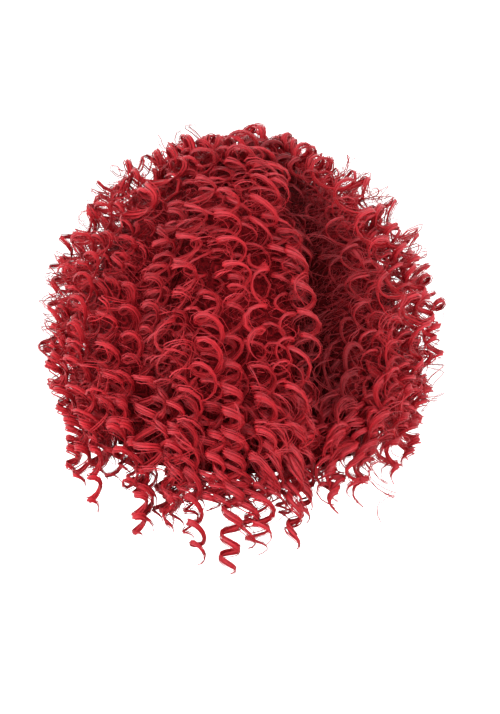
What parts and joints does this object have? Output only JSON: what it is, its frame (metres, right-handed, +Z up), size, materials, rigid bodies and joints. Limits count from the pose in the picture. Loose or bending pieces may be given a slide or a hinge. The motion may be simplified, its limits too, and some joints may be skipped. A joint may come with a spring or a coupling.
{
  "type": "curly costume wig",
  "caption": "Full shoulder-length curly costume wig: groups of corkscrew locks sewn on a thin stretch cap, open at the face and neck.",
  "frame": {"origin": "inside of the cap at the crown, where the cap rests on the head", "axes": "+Z up, the face looks along -Y, the wearer's left is +X"},
  "size_m": [0.3449, 0.3073, 0.3848],
  "materials": {
    "cap_net": "thin knitted stretch net, dark red",
    "hair": "curled synthetic fibre, deep red with a soft gloss"
  },
  "bodies": {
    "root": {"cap": "cap_net", "hair_crown": "hair", "hair_back": "hair", "hair_left": "hair", "hair_right": "hair", "hair_front": "hair"}
  },
  "joints": []
}
